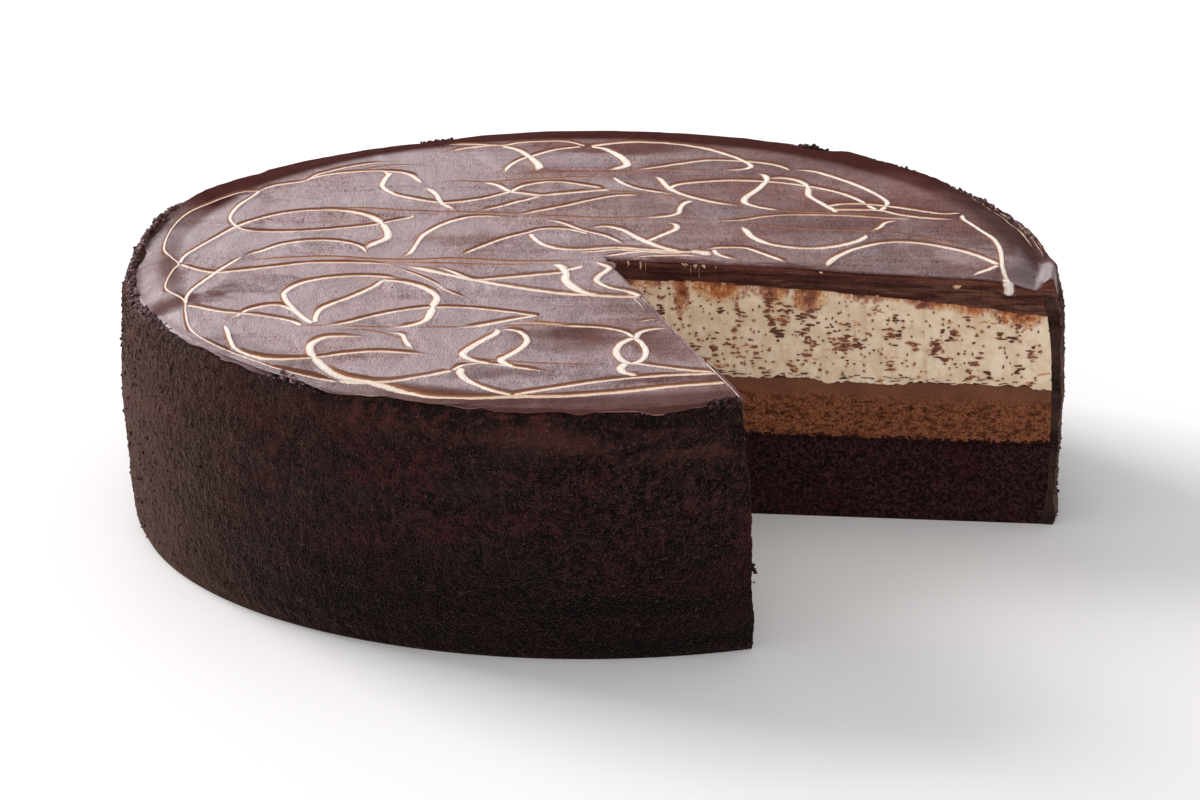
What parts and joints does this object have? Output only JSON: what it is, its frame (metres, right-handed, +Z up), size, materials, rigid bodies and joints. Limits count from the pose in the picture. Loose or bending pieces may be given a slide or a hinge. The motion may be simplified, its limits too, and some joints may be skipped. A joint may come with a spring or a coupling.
{
  "type": "chocolate cheesecake",
  "caption": "Round layered chocolate cheesecake with a marbled ganache top and a wedge cut out, showing sponge, mousse and flecked cream inside a coat of cake crumbs.",
  "frame": {"origin": "middle of the round footprint of the whole cake, on the surface it stands on", "axes": "+Z up; the missing wedge opens between +X and -Y, so its shown cut faces -Y and runs out along +X"},
  "size_m": [0.2496, 0.2499, 0.0722],
  "materials": {
    "sponge": "dark open crumb",
    "mousse": "fine moist crumb",
    "cream": "smooth cream with chocolate flecks",
    "ganache": "satin glaze",
    "swirl": "white chocolate drawn into the glaze",
    "crumbs": "dry dark crumbs"
  },
  "bodies": {
    "root": {"sponge_base": "sponge", "mousse_layer": "mousse", "cream_layer": "cream", "ganache_top": "ganache", "crumb_coat": "crumbs"}
  },
  "joints": []
}
